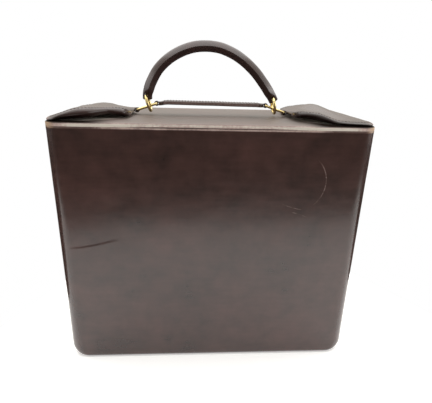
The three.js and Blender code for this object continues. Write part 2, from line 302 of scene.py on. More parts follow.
def leather(name, roughness, coat=0.18, dust=0.0, scratches=()):
    material, tree, shader, place = new_material(name)
    wear, bare, crease = (
        add_node(tree, "ShaderNodeAttribute", attribute_name=sign).outputs["Fac"] for sign in USE_AND_PAINTED_LIGHT)
    tone = remap(noise_at(place, 14, 4), 0.3, 0.7, 0, 0.45)
    blotches = remap(noise_at(place, 65, 4), 0.3, 0.7, 0, 0.4)
    streaks = noise_at(place, 150, 5, stretch=(0.3, 0.3, 1.6))
    mottled = calculate("ADD", tone, blotches)
    mottled = calculate("ADD", mottled, remap(streaks, 0.25, 0.75, 0, 0.2))
    patchy = remap(noise_at(place, 420, 3), 0.3, 0.6, 0.7, 1.0)
    ragged = calculate("MULTIPLY", wear, patchy)
    for scratch in scratches:
        broken = remap(noise_at(place, 300, 2), 0.35, 0.6, 0.02, 0.13)
        line = calculate("MULTIPLY", scratched(place, scratch), broken)
        ragged = calculate("MAXIMUM", ragged, line)
    colour = mix_colour(mottled, HIDE_DARK, HIDE_LIGHT)
    colour = mix_colour(remap(ragged, 0.0, 0.26), colour, worn_colour(ragged))
    colour = mix_colour(bare, colour, BARE_HIDE)
    polish = remap(streaks, 0.3, 0.7, roughness - 0.02, roughness + 0.02)
    pores = add_node(tree, "ShaderNodeTexVoronoi", {"Vector": place, "Scale": 2600}).outputs["Distance"]
    fine = add_node(tree, "ShaderNodeBump", {"Height": pores, "Strength": 0.12, "Distance": 0.00006})
    bump = add_node(tree, "ShaderNodeBump", {
        "Height": noise_at(place, 150, 4), "Strength": 0.16, "Distance": 0.0006,
        "Normal": fine.outputs["Normal"]})
    # The third number is painted shade: it darkens the colour and takes away the shine and the sheen.
    feed(shader, {
        "Base Color": mix_colour(crease, colour, PAINTED_SHADE_COLOUR),
        "Roughness": calculate("ADD", polish, calculate("MULTIPLY", ragged, 0.3)),
        "Specular IOR Level": remap(crease, 0, 1, 0.6, 0),
        "Coat Weight": remap(crease, 0, 1, coat, 0),
        "Coat Roughness": 0.16,
        "Sheen Weight": remap(crease, 0, 1, dust, 0),
        "Sheen Roughness": 0.5,
        "Sheen Tint": DUST_TONE,
        "Normal": bump.outputs["Normal"]})
    return material


calf = leather("calf", 0.24)
calf_marked = leather("calf_marked", 0.24, scratches=FACE_SCRATCHES)
calf_dulled = leather("calf_dulled", 0.5, coat=0.0, dust=0.2)
print("leather:", calf.name, calf_marked.name, calf_dulled.name)

# %% [markdown]
# Every leather piece is a loft: rings of points joined in order, closed at both ends. It could also be
# boxes with bevels and subdivision, but rings let each row have its own inset, dent and wear.

# %% Lofts and pieces
SHARP_ANGLE = 50


def loft(rings):
    """Points and faces of a closed loft through rings of equal count, with a flat face at each end."""
    count = len(rings[0])
    faces = []
    for row in range(len(rings) - 1):
        for i in range(count):
            a = row * count + i
            b = row * count + (i + 1) % count
            faces.append((a, b, b + count, a + count))
    last = (len(rings) - 1) * count
    faces.append(tuple(reversed(range(count))))
    faces.append(tuple(last + i for i in range(count)))
    return [point for ring in rings for point in ring], faces


def make_piece(name, points, faces, materials, slot_of=None, **use):
    """A mesh object from points in millimetres; use holds a list for each sign of use and of painted light
    and shade, by point.
    """
    mesh = bpy.data.meshes.new(name)
    mesh.from_pydata([Vector(point) * MM for point in points], [], faces)
    shape = bmesh.new()
    shape.from_mesh(mesh)
    bmesh.ops.recalc_face_normals(shape, faces=shape.faces)
    shape.to_mesh(mesh)
    shape.free()
    for material in materials:
        mesh.materials.append(material)
    if slot_of:
        mesh.polygons.foreach_set("material_index", [slot_of(polygon) for polygon in mesh.polygons])
    for sign in USE_AND_PAINTED_LIGHT:
        layer = mesh.attributes.new(sign, "FLOAT", "POINT")
        layer.data.foreach_set("value", use.get(sign) or [0.0] * len(mesh.vertices))
    mesh.shade_smooth()
    mesh.set_sharp_from_angle(angle=math.radians(SHARP_ANGLE))
    return add_object(name, mesh)


def settle(piece, body, slot, *nodes):
    """Ties a finished piece to its body and hides the solids that it stands for. The slot is not used."""
    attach(piece, body)
    if nodes:
        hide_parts(*nodes)
    triangles = sum(len(polygon.vertices) - 2 for polygon in piece.data.polygons)
    print(f"{piece.name}: {triangles} triangles, on {body}")


print("edges over", SHARP_ANGLE, "degrees stay sharp")

# %% [markdown]
# The box. Its outline from above is a rounded rectangle. Each point also knows its way out, so that a
# dent or a swell can move it at right angles to the wall.

# %% Outline of the case
CORNER_RADIUS, LEAST_RADIUS = 14, 2
CORNER_STEPS, LONG_STEPS, SHORT_STEPS = 10, 90, 42


def outline(inset_x, inset_y):
    """Points of the rounded rectangle and the way out at each, as (x, y, out_x, out_y)."""
    radius = max(CORNER_RADIUS - min(inset_x, inset_y), LEAST_RADIUS)
    reach_x, reach_y = HALF_X - inset_x - radius, HALF_Y - inset_y - radius
    found = []
    for quarter, (side_x, side_y) in enumerate(((1, 1), (-1, 1), (-1, -1), (1, -1))):
        for step in range(CORNER_STEPS + 1):
            angle = math.radians(90 * (quarter + step / CORNER_STEPS))
            out = Vector((math.cos(angle), math.sin(angle)))
            x, y = side_x * reach_x + radius * out.x, side_y * reach_y + radius * out.y
            found.append((x, y, out.x, out.y))
        along = (-2 * side_x * reach_x, 0) if quarter % 2 == 0 else (0, -2 * side_y * reach_y)
        steps = LONG_STEPS if quarter % 2 == 0 else SHORT_STEPS
        for step in range(1, steps):
            share = step / steps
            found.append((x + share * along[0], y + share * along[1], out.x, out.y))
    return found


def drawn_in(radius, height):
    """How far a quarter-round edge is drawn in at a height above its foot."""
    up = min(height / radius, 1)
    return radius * (1 - math.sqrt(1 - (1 - up) ** 2))


print("outline:", len(outline(0, 0)), "points")

# %% [markdown]
# The leather is not flat. It swells and sinks by a third of a millimetre over the board, and noise gives
# that without a pattern. Two pressed folds are drawn one by one: one crosses the left of the hinge face,
# soft below and sharp above, and one runs under the rim at the right.

# %% Dents of the walls
Swell = namedtuple("Swell", "height width")
WALL_SWELLS = (Swell(0.34, 85), Swell(0.07, 21))
HINGE_FACE = 4 - HALF_Y
Fold = namedtuple("Fold", "start end depth below above")
FOLDS = (
    Fold(Vector((-138, 131.5)), Vector((-90, 141.2)), 0.2, 11, 0.6),
    Fold(Vector((60, 244.6)), Vector((121, 244.9)), 0.15, 0.8, 3),
)
FOLD_BEND, FOLD_FADE = 1.5, 0.6


def swell(place, rows):
    """Soft unevenness in millimetres: waves of each row's height and width, added up."""
    return sum(row.height * noise.noise(place / row.width) for row in rows)


def folded(x, z, fold):
    """How far the face stands out beside a fold, which dies away at its own rate below and above."""
    share = (x - fold.start.x) / (fold.end.x - fold.start.x)
    if not 0 < share < 1:
        return 0
    off = z - fold.start.y - (fold.end.y - fold.start.y) * share ** FOLD_BEND
    side = math.exp(-off / fold.above) if off > 0 else math.exp(off / fold.below)
    return fold.depth * math.sin(math.pi * share) ** FOLD_FADE * side


def wall_dent(x, y, z):
    dent = swell(Vector((x, y, z)), WALL_SWELLS)
    if y < HINGE_FACE:
        dent += sum(folded(x, z, fold) for fold in FOLDS)
    return dent


print("folds in the hinge face:", [fold.depth for fold in FOLDS], "mm deep")

# %% [markdown]
# The box is rounded far in at the two ends of its base and only a little at the faces, as board cases
# are. Its rows go up the outside, over the rim and down the inside. They lie closer together at the
# fold, so that it stays sharp. The rim is rubbed pale, least near the ends, and the pale rub also stands
# as a painted highlight along its rounded top. It is bare at the corners.

# %% Box of the case
WALL = 3
BASE_ROUND_X, BASE_ROUND_Y, RIM_ROUND = 12.5, 5, 1.2
BASE_HEIGHTS = (0, 0.12, 0.35, 0.7, 1.2, 1.9, 2.8, 3.9, 5.2, 7, 9.5)
INNER_HEIGHTS = (12.5, 8, 5, 3, 1.5, 0.6, 0)
WALL_ROWS, FINE_FROM, FINE_TO = 112, 126, 145
RIM_RUB_AND_HIGHLIGHT, RIM_RUB_LOST, RIM_BARE, BASE_RUB = 0.32, 0.2, 0.55, 0.05
BARE_FROM, BARE_FULL = 0.2, 0.8


def smooth_step(low, high, value):
    share = min(max((value - low) / (high - low), 0), 1)
    return share * share * (3 - 2 * share)


def at_corner(x, y):
    """1 on the upright corners, 0 on the flat walls, from above."""
    beyond_x = max(abs(x) - HALF_X + CORNER_RADIUS, 0) / CORNER_RADIUS
    beyond_y = max(abs(y) - HALF_Y + CORNER_RADIUS, 0) / CORNER_RADIUS
    return min(1.6 * beyond_x * beyond_y, 1)


def pressed(inset, x):
    """Toward the ends the edges of lid and rim are pressed flat, and the seam between them closes."""
    return 0.95 * inset * smooth_step(38, 92, abs(x))


# A row is (inset_x, inset_y, z, share of the wall's dents).
rows = [(drawn_in(BASE_ROUND_X, z), drawn_in(BASE_ROUND_Y, z), z, 0) for z in BASE_HEIGHTS]
foot, shoulder = BASE_ROUND_X, CASE_TOP - RIM_ROUND
for third in range(3 * WALL_ROWS + 1):
    share = third / 3 / WALL_ROWS
    z = foot + share * (shoulder - foot)
    if third % 3 == 0 or FINE_FROM < z < FINE_TO:
        rows.append((0, 0, z, min(share / 0.06, (1 - share) / 0.02, 1)))
rows.insert(-1, (0, 0, shoulder - 0.7, 0.1))
for share in (0.8, 0.55, 0.3, 0.12, 0):
    inset = drawn_in(RIM_ROUND, share * RIM_ROUND)
    rows.append((inset, inset, CASE_TOP - share * RIM_ROUND, 0))
for inset, down in ((2.5, 0.02), (2.9, 0.3), (WALL, 1), (WALL, 60), (WALL, 150)):
    rows.append((inset, inset, CASE_TOP - down, 0))
for z in INNER_HEIGHTS:
    rows.append((WALL + drawn_in(BASE_ROUND_X, z), WALL + drawn_in(BASE_ROUND_Y, z), WALL + z, 0))

rings, wear, bare = [], [], []
for inset_x, inset_y, z, dented in rows:
    ring = []
    for x, y, out_x, out_y in outline(inset_x, inset_y):
        dent = dented * wall_dent(x, y, z) if dented else 0
        if z > CASE_TOP - RIM_ROUND and inset_x <= RIM_ROUND:
            dent += pressed(inset_x, x)
        ring.append((x + dent * out_x, y + dent * out_y, z))
        patchy = 1 + 0.35 * noise.noise(Vector((x, y, z)) / 14)
        rim = 1 - smooth_step(0.9, 1.8, CASE_TOP - z) if inset_x < WALL else 0
        # The rim's pale rub is wear and also a painted highlight along its rounded top.
        rim_rub_and_highlight = RIM_RUB_AND_HIGHLIGHT - RIM_RUB_LOST * smooth_step(92, 112, abs(x))
        base_edge = math.exp(-((z - 2) / 3) ** 2) if inset_x < WALL + 1 else 0
        corner = at_corner(x, y)
        wear.append(patchy * (rim_rub_and_highlight * rim + BASE_RUB * base_edge * (0.5 + corner)))
        bare.append(RIM_BARE * rim * smooth_step(BARE_FROM, BARE_FULL, corner))
    rings.append(ring)

top_row = max(range(len(rows)), key=lambda row: rows[row][2])
first_inside = (top_row + 2) * len(rings[0])


def case_slot(polygon):
    """Flesh side for the faces from just inside the rim on, but not for the flat foot."""
    return 1 if polygon.index >= first_inside and polygon.center.z > MM else 0


case_leather = make_piece(
    "case_leather", *loft(rings), (calf_marked, flesh), case_slot, wear=wear, bare=bare)
settle(case_leather, "case", "leather", "case_body")

# %% [markdown]
# The lid shows how the case was used, with painted light and shade besides. Its edge is rubbed pale along
# the middle, which also stands as a painted highlight; under the ears' arches the lid is painted light,
# and painted shade lies along their turned-down edges. All that could be painted on a picture. Here each
# is a short function of the place on the lid.

# %% Wear, painted light and painted shade of the lid
LID_ROUND = 1.3
# The edge rub is wear and also a painted highlight; the last value paints light on the lid under the ears'
# arches.
EDGE_RUB_AND_HIGHLIGHT, EDGE_PALING, TOP_PALING, PAINTED_LIGHT_UNDER_EARS = 0.52, 0.1, 0.05, 0.5
# Where the painted shade along the ears' edges begins and where it is full, on each side of the lid.
PAINTED_SHADE_RUNS = {-1: (84, 116), 1: (78, 100)}


def off_ear_edge(x, y):
    """Roughly how far a place on the lid lies outside the line where an ear's long edge comes down."""
    return abs(y) - min(43 + 0.95 * (abs(x) - 91), 66)


def up_edge(z):
    return (z - LID_UNDER) / (LID_TOP - LID_UNDER)


def lid_crease(x, y, z):
    """Painted shade along the ears' edges, down to the upper part of the lid's own edge."""
    off = off_ear_edge(x, y)
    along = smooth_step(-9, -3, off) * (1 - smooth_step(14, 44, off))
    begins, full = PAINTED_SHADE_RUNS[1 if x > 0 else -1]
    return along * smooth_step(begins, full, abs(x)) * smooth_step(0.74, 0.97, up_edge(z))


def edge_rub_and_painted_light(x, z):
    """Rubbed most along the middle of the edge, partly as a painted highlight, and at the ends painted
    light down to the seam, with the top kept dark near the ears as painted shade.
    """
    at_end = smooth_step(80, 105, abs(x))
    shut = 0.22 * smooth_step(45, 92, abs(x))
    low = smooth_step(0.05 - shut, 0.26 - shut, up_edge(z))
    high = 1 - (0.75 + 0.2 * at_end) * smooth_step(0.65 - 0.1 * at_end, 0.95, up_edge(z))
    return low * high * (EDGE_RUB_AND_HIGHLIGHT + 0.2 * smooth_step(60, 95, abs(x)) - 0.4 * smooth_step(118, 140, abs(x)))


# Paler towards the lid's edge, and painted light on the lid under the ears' arches, where light reaches in
# below them.
def top_paling_and_painted_light(x, y, inset):
    under_ear = smooth_step(86, 94, abs(x)) * smooth_step(4, 14, abs(y))
    painted_light_zone = under_ear * (1 - smooth_step(-3, 3, off_ear_edge(x, y)))
    at_edge = EDGE_PALING * math.exp(-(inset / 3) ** 2)
    return max(at_edge, TOP_PALING * math.exp(-(inset / 16) ** 2), PAINTED_LIGHT_UNDER_EARS * painted_light_zone)


print(f"rub half way up the lid's edge: {edge_rub_and_painted_light(0, (LID_UNDER + LID_TOP) / 2):.2f}")

# %% [markdown]
# The lid itself is a thin board, dulled leather above and flesh side below, with a rounded edge that
# meets the rim at a fine dark line. Its rows go up round the edge and then in across the top, close
# together where the surface turns. The corners are rubbed down to tan.

# %% Lid
LID_UNDER_ROUND, LID_SEAT, LID_BARE = 0.9, 0.25, 0.75
LID_INSETS = (2, 3, 4.5, 7, 10, 15, 22, 31, 42, 54, 64, 70)
LID_SWELLS = (Swell(0.12, 60),)

lid_rows = []
for share in (0, 0.2, 0.5, 1):
    foot = LID_UNDER - LID_SEAT
    lid_rows.append((drawn_in(LID_UNDER_ROUND, share * LID_UNDER_ROUND), foot + share * LID_UNDER_ROUND))
for share in (1, 0.75, 0.45, 0.2, 0.06, 0):
    lid_rows.append((drawn_in(LID_ROUND, share * LID_ROUND), LID_TOP - share * LID_ROUND))
lid_rows += [(inset, LID_TOP) for inset in LID_INSETS]

rings, wear, bare, crease = [], [], [], []
for inset, z in lid_rows:
    on_top = inset > LID_ROUND
    ring = []
    for x, y, out_x, out_y in outline(inset, inset):
        sunk = swell(Vector((x, y, 7)), LID_SWELLS) * min((inset - LID_ROUND) / 8, 1) if on_top else 0
        flat = pressed(inset, x) if z < LID_UNDER + LID_UNDER_ROUND else 0
        ring.append((x + flat * out_x, y + flat * out_y, z + sunk))
        patchy = 1 + 0.25 * noise.noise(Vector((x, y, z)) / 12)
        wear.append(patchy * (top_paling_and_painted_light(x, y, inset) if on_top else edge_rub_and_painted_light(x, z)))
        corner = smooth_step(BARE_FROM, BARE_FULL, at_corner(x, y))
        bare.append(0 if on_top else LID_BARE * corner * patchy)
        crease.append(lid_crease(x, y, z))
    rings.append(ring)


def lid_slot(polygon):
    return 1 if polygon.normal.z < -0.9 else 0


lid_leather = make_piece(
    "lid_leather", *loft(rings), (calf_dulled, flesh), lid_slot, wear=wear, bare=bare, crease=crease)
settle(lid_leather, "lid", "leather", "lid")

# %% [markdown]
# The ears. Each is one piece of leather, as deep as the case at its side, that arches over the lid with
# its edges turned down and ends in a broad, soft mouth above the link. No two sections are alike: on the
# left the near edge stands high, on the right the middle does. The tables have one row for each section
# from the side to the tip, as a pattern cutter would mark them, and a smooth curve runs through the rows.

# %% Ear tables
EarSection = namedtuple("EarSection", "x near far near_ridge middle far_ridge lip")
EAR_LEFT = (
    (148.4, 60.5, 60.5, 2.9, 2.9, 2.9, 0.3),
    (146, 64.5, 64.5, 3.1, 3, 2.9, 0.3),
    (140, 68, 67, 5, 4.2, 3.6, 0.8),
    (132, 68.5, 66, 8.4, 6.4, 4.8, 1.6),
    (124, 68, 65, 10.8, 9, 5.6, 2.2),
    (115, 64.5, 60, 11.6, 10.6, 5.6, 2.6),
    (109, 60, 54, 11.2, 10.6, 4.8, 3),
    (104, 54, 47, 10.8, 10.2, 4.2, 3.8),
    (98, 47, 38, 10.6, 8.8, 3.6, 4),
    (91, 43.5, 28, 10.2, 7.6, 3.8, 2.6),
    (85, 41.5, 18, 9.2, 6.8, 4.4, 1.4),
    (82, 37, 13, 7, 6.4, 4.8, 1.2),
    (80.4, 28, 10, 4.4, 6, 5, 1.2),
)
EAR_RIGHT = (
    (148.4, 60.5, 60.5, 2.9, 2.9, 2.9, 0.3),
    (146, 64.5, 64.5, 3, 3, 3, 0.4),
    (140, 68, 67, 3.2, 3.9, 4, 0.8),
    (132, 68.5, 66, 3.4, 6, 6, 1.1),
    (124, 68, 65, 3.6, 9.2, 8, 1.2),
    (115, 65, 61, 4.4, 12.6, 9, 1.2),
    (109, 60, 56, 6.2, 13.8, 9, 1.2),
    (103, 53, 51, 8.4, 13.2, 8.8, 1.4),
    (98, 48, 47, 9.2, 11.4, 8.4, 2.4),
    (91, 43.5, 43, 9.5, 9, 8, 3.4),
    (85, 41.5, 40, 9.2, 7.4, 6.6, 3.8),
    (82, 37, 36, 8.2, 6.6, 6, 3.6),
    (80.4, 28, 27, 6.6, 6, 5.2, 3),
)
EARS = {-1: EAR_LEFT, 1: EAR_RIGHT}
SIDES = ((-1, "left"), (1, "right"))


def through(values, at):
    """A smooth curve through evenly spaced values, read at a fractional place."""
    i = min(int(at), len(values) - 2)
    t = at - i
    before, a = values[max(i - 1, 0)], values[i]
    b, after = values[i + 1], values[min(i + 2, len(values) - 1)]
    bend = 2 * before - 5 * a + 4 * b - after
    twist = 3 * a - before - 3 * b + after
    return 0.5 * (2 * a + (b - before) * t + bend * t * t + twist * t ** 3)


def ear_section(side, at):
    return EarSection(*(through(column, at) for column in zip(*EARS[side])))


print("ear sections:", len(EAR_LEFT), "on each side")

# %% [markdown]
# Across the case, a section goes up over a rounded shoulder, slopes to the middle, and comes down over
# the far shoulder. Drawn once outside and once a thickness further in, it gives both faces of the leather.

# %% Ear arch
EAR_THICKNESS, EAR_FOOT = 2.2, 0.8
EAR_ROLL, EAR_ROLL_SHARE = 9, 0.3
EAR_TUCK, TUCK_FROM, TUCK_FULL = 50, 2.5, 6
ROLL_STEPS, TOP_STEPS = 16, 18
EAR_SWELLS = (Swell(0.3, 23), Swell(0.1, 7))


def spread(low, high, steps):
    """Evenly spaced values from low to high."""
    return [low + (high - low) * step / steps for step in range(steps + 1)]


def rippled(x, y, height):
    """The height with soft unevenness, which dies away towards the foot."""
    return height + swell(Vector((x, y, 0)), EAR_SWELLS) * smooth_step(1, 5, height)


def ear_half(section, reach, ridge, inset):
    """Half an arch from its edge to the middle, as (across, height) pairs."""
    edge = reach - inset
    roll = min(EAR_ROLL, EAR_ROLL_SHARE * reach)
    foot = min(section.lip, ridge - EAR_THICKNESS) + EAR_FOOT
    top = max(ridge - inset, foot)
    tuck = -EAR_TUCK * smooth_step(TUCK_FROM, TUCK_FULL, ridge - foot)
    lowest = math.sin(math.radians(tuck))
    half = []
    for turn in map(math.radians, spread(tuck, 90, ROLL_STEPS)):
        up = (math.sin(turn) - lowest) / (1 - lowest)
        half.append((edge - roll * (1 - math.cos(turn)), foot + (top - foot) * up))
    for step in reversed(range(TOP_STEPS)):
        out = step / TOP_STEPS
        height = section.middle - inset + (ridge - section.middle) * smooth_step(0, 1, out)
        half.append((out * (edge - roll), max(height, foot)))
    return half


def ear_arch(section, inset):
    """One whole arch from the near foot to the far foot, as (y, height) pairs."""
    near = ear_half(section, section.near, section.near_ridge, inset)
    far = ear_half(section, section.far, section.far_ridge, inset)
    return [(-across, height) for across, height in near] + far[-2::-1]


print("points across an ear:", len(ear_arch(ear_section(-1, 0), 0)))

# %% [markdown]
# The arches of one ear are joined into a shell. A cut edge of thick leather is not square: a bead rounds
# it along the two feet, and the last rings at the side and at the tip are thinned.

# %% Ear shells
STEPS_PER_SECTION, LEAST_HEIGHT = 6, 0.25
BEAD_TURNS = (45, 90, 135)


def lip_bead(start, end):
    """Points that round the cut edge between the outer and the inner foot."""
    bead = []
    for turn in map(math.radians, BEAD_TURNS):
        share = (1 - math.cos(turn)) / 2
        bead.append((start[0] + share * (end[0] - start[0]), start[1] - EAR_FOOT * math.sin(turn)))
    return bead


def ear_ring(side, at, thinned=0.0, moved=0.0):
    """The closed outline of the leather at a section; thinned and moved round off the two ends."""
    section = ear_section(side, at)
    skin = EAR_THICKNESS / 2 * thinned
    outside, inside = ear_arch(section, skin), ear_arch(section, EAR_THICKNESS - skin)
    ring = outside + lip_bead(outside[-1], inside[-1]) + inside[::-1] + lip_bead(inside[0], outside[0])
    x = side * (section.x + moved)
    return [(x, y, LID_TOP + max(rippled(x, y, height), LEAST_HEIGHT)) for y, height in ring]


def ear_end(first, count, flip):
    """Faces that close the cut end of an ear, between its outer and its inner arch."""
    bead = len(BEAD_TURNS) + 1
    arch = count // 2 - bead
    inner_last = 2 * arch + bead
    faces = [(i, i + 1, inner_last - i - 1, inner_last - i) for i in range(arch)]
    faces.append(tuple(range(arch, arch + bead + 1)))
    faces.append((*range(inner_last, inner_last + bead), 0))
    faces = [tuple(first + i for i in face) for face in faces]
    return [tuple(reversed(face)) for face in faces] if flip else faces


def ear_shell(side):
    last = len(EAR_LEFT) - 1
    rings = [ear_ring(side, 0, thinned=0.7, moved=0.75), ear_ring(side, 0, thinned=0.25, moved=0.45)]
    steps = last * STEPS_PER_SECTION
    rings += [ear_ring(side, step / STEPS_PER_SECTION) for step in range(steps + 1)]
    rings += [ear_ring(side, last, thinned=0.3, moved=-0.35), ear_ring(side, last, thinned=0.7, moved=-0.6)]
    points, faces = loft(rings)
    count = len(rings[0])
    faces = faces[:-2] + ear_end(0, count, True) + ear_end((len(rings) - 1) * count, count, False)
    return points, faces


print("ear shell:", len(ear_shell(-1)[1]), "faces")

# %% [markdown]
# The folded tab at an ear's tip and the loops at the strap's ends are narrow strips of leather bent round
# a wire. A strip is a rounded little section swept along a line drawn in the XZ plane. The ears are made
# here, because each is its shell and its tab together.

# %% Leather strips round the wire, and the ears
LINK_OUTER = Vector((78, LID_TOP + 4.2))
LINK_INNER = Vector((57, LID_TOP + 11.2))
LOOP_RADIUS, LOOP_THICKNESS, LOOP_WIDTH, LOOP_INSET = 2.0, 1.2, 3.6, 0.3
STRIP_SIDES, LOOP_STEPS = 16, 26
# How high the painted shade reaches up each ear's foot, and how strong it is where the long edges turn
# down.
EarPaintedShade = namedtuple("EarPaintedShade", "top turned")
EAR_PAINTED_SHADES = {-1: EarPaintedShade(9, 0.4), 1: EarPaintedShade(4.5, 0.72)}


def around(count):
    return spread(0, 2 * math.pi, count)[:-1]


def squarish(value, power):
    """Bends a sine or cosine outwards, so that a circle becomes a rounded rectangle."""
    return math.copysign(abs(value) ** power, value)


def strip(line):
    """Points and faces of a strip with rounded edges along a line of (x, z) points."""
    rings = []
    for i, middle in enumerate(line):
        ahead, back = line[min(i + 1, len(line) - 1)], line[max(i - 1, 0)]
        tangent = (ahead - back).normalized()
        normal = Vector((-tangent.y, tangent.x))
        ring = []
        for angle in around(STRIP_SIDES):
            spot = middle + normal * (squarish(math.sin(angle), 0.6) * LOOP_THICKNESS / 2)
            ring.append((spot.x, squarish(math.cos(angle), 0.45) * LOOP_WIDTH / 2, spot.y))
        rings.append(ring)
    return loft(rings)


def bent_round(side, centre, start, end, lead, tail):
    """A strip that comes in by lead, turns round centre from start to end degrees, and leaves by tail."""
    turns = map(math.radians, spread(start, end, LOOP_STEPS))
    arc = [centre + Vector((math.cos(turn), math.sin(turn))) * LOOP_RADIUS for turn in turns]
    ways = [[(x, LID_TOP + height) for x, height in way] for way in (lead, tail)]
    return strip([Vector((side * x, z)) for x, z in (*ways[0], *arc, *ways[1])])


def join(*parts):
    points, faces = [], []
    for part_points, part_faces in parts:
        faces += [tuple(i + len(points) for i in face) for face in part_faces]
        points += part_points
    return points, faces


def ear_tab(side):
    lead, tail = ((88, 5.6), (84.5, 5.3), (81.6, 5)), ((81.6, 3.5), (85, 4))
    return bent_round(side, LINK_OUTER - Vector((LOOP_INSET, 0)), 48, 312, lead, tail)


def ear_wear(x, y, z):
    """Rubbed along the side of the case, most towards the corners."""
    outer = math.exp(-((abs(x) - HALF_X) / 3) ** 2)
    near_end = max(abs(y) - 52, 0) / 12
    patchy = 0.7 + 0.6 * noise.noise(Vector((x, y, z)) / 8)
    return min(outer * (0.12 + 0.6 * near_end) * patchy, 1)


def ear_crease(x, y, z, row):
    """Painted shade at the foot of the long edges and where they turn down to the lid."""
    low = 0.9 * (1 - smooth_step(0.8, row.top, z - LID_TOP))
    turned_down = row.turned * smooth_step(-9, -2, off_ear_edge(x, y))
    return max(low, turned_down) * (1 - smooth_step(138, 146, abs(x))) * smooth_step(26, 34, abs(y))


for side, word in SIDES:
    points, faces = join(ear_shell(side), ear_tab(side))
    wear = [ear_wear(*point) for point in points]
    crease = [ear_crease(*point, EAR_PAINTED_SHADES[side]) for point in points]
    ear = make_piece(f"ear_{word}_leather", points, faces, (calf,), wear=wear, crease=crease)
    settle(ear, "lid", "leather", f"ear_{word}")

# %% [markdown]
# The strap between the links is two thicknesses of leather, sewn along both edges. It could be a flat
# bevelled box, but a swept section gives the joint along its edges. Its ends narrow and go round the links.

# %% Strap
StrapSection = namedtuple("StrapSection", "x half_width")
STRAP_END = [StrapSection(*row) for row in (
    (55.2, 1.7), (54, 2.3), (52.6, 4.2), (51, 5.4), (49, 5.9), (46, 6))]
STRAP_HALF_THICK, STRAP_RISE, STRAP_SLOPE = 2, 0.8, 0.009
STRAP_STEPS, STRAP_SIDES = 40, 36
JOINT_DEPTH, JOINT_WIDTH = 0.35, 0.35
CUT_EDGE_WIDTH, CUT_EDGE_HEIGHT, CUT_EDGE_WEAR = 0.6, 1.3, 0.16


def strap_middle(x):
    """Height of the strap's middle: it leans a little to the right and waves."""
    level = 1 - smooth_step(46, 55, abs(x))
    wave = 0.18 * noise.noise(Vector((x / 24, 0.5, 3)))
    return LINK_INNER.y + level * (STRAP_RISE - STRAP_SLOPE * x) + wave


def strap_ring(x, half_width):
    ring = []
    for angle in around(STRAP_SIDES):
        across = squarish(math.cos(angle), 0.3) * half_width
        up = squarish(math.sin(angle), 0.5) * STRAP_HALF_THICK
        joint = min(JOINT_DEPTH * math.exp(-(up / JOINT_WIDTH) ** 2), 0.2 * half_width)
        ring.append((x, across - math.copysign(joint, across), strap_middle(x) + up))
    return ring


def strap_band():
    wide = STRAP_END[-1].x
    stations = [StrapSection(-row.x, row.half_width) for row in STRAP_END]
    stations += [StrapSection(x, STRAP_END[-1].half_width) for x in spread(-wide, wide, STRAP_STEPS)[1:-1]]
    stations += reversed(STRAP_END)
    return loft([strap_ring(*row) for row in stations])


def strap_loop(side):
    lead, tail = ((51.5, 12.3), (53.6, 12.1)), ((53.6, 10.3), (51.5, 10.5))
    return bent_round(side, LINK_INNER + Vector((LOOP_INSET, 0)), 138, -138, lead, tail)


def on_cut_edge(x, y, z):
    outside = abs(y) > STRAP_END[-1].half_width - CUT_EDGE_WIDTH
    return outside and abs(z - strap_middle(x)) < CUT_EDGE_HEIGHT


points, faces = join(strap_band(), strap_loop(-1), strap_loop(1))
wear = [CUT_EDGE_WEAR if on_cut_edge(*point) else 0.0 for point in points]
strap = make_piece("strap_leather", points, faces, (calf,), wear=wear)
settle(strap, "lid", "leather", "strap")

# %% [markdown]
# The handle is leather rolled round a core: one piece above and one below, joined along a ridge on each
# side. That ridge divides the light upper side from the dark underside. The ends are pressed flat. A
# section swept along the handle's line gives the roll.

# %% Handle
HandlePoint = namedtuple("HandlePoint", "x z")
HANDLE_LINE = [HandlePoint(*row) for row in (
    (-66.5, 14.6), (-66.2, 22), (-62.5, 32.8), (-53.8, 46.8), (-40, 58.4), (-23, 66), (-6.4, 68.3),
    (10.5, 66.2), (27.7, 58.5), (42.9, 46.6), (54.5, 33.4), (62.5, 21.8), (66.3, 15))]
HANDLE_OUT, HANDLE_IN, HANDLE_HALF_DEPTH, TAB_HALF_DEPTH = 4.9, 5.9, 5.4, 1.5
RIDGE_DROP, HANDLE_ROOF = 0.5, 1.35
TAB_TOP, BODY_FOOT = 18, 27
HANDLE_STEPS, HANDLE_SIDES, LENGTH_STEPS = 150, 40, 200
END_ROUND, END_STATIONS = 4.5, (0, 0.25, 0.7, 1.4, 2.3, 3.3)
HANDLE_SWELLS = (Swell(0.12, 11),)


def handle_line(share):
    at = share * (len(HANDLE_LINE) - 1)
    return Vector([through(column, at) for column in zip(*HANDLE_LINE)])


def handle_frame(share):
    """The middle of the handle at a share of its line, and the way out of the bend there."""
    step = 0.002
    tangent = (handle_line(min(share + step, 1)) - handle_line(max(share - step, 0))).normalized()
    return handle_line(share), Vector((-tangent.y, tangent.x))


def handle_section(angle, share, half_depth, rolled):
    """(out, y) on the section: roof-shaped above and below, with a ridge on each side."""
    sine, cosine = math.sin(angle), math.cos(angle)
    drop = RIDGE_DROP * rolled
    inner = HANDLE_OUT + (HANDLE_IN - HANDLE_OUT) * rolled
    reach = HANDLE_OUT + drop if sine > 0 else inner - drop
    roof = 1 - abs(cosine) ** HANDLE_ROOF
    up = abs(sine) + (roof - abs(sine)) * rolled
    return share * (reach * math.copysign(up, sine) - drop), half_depth * cosine


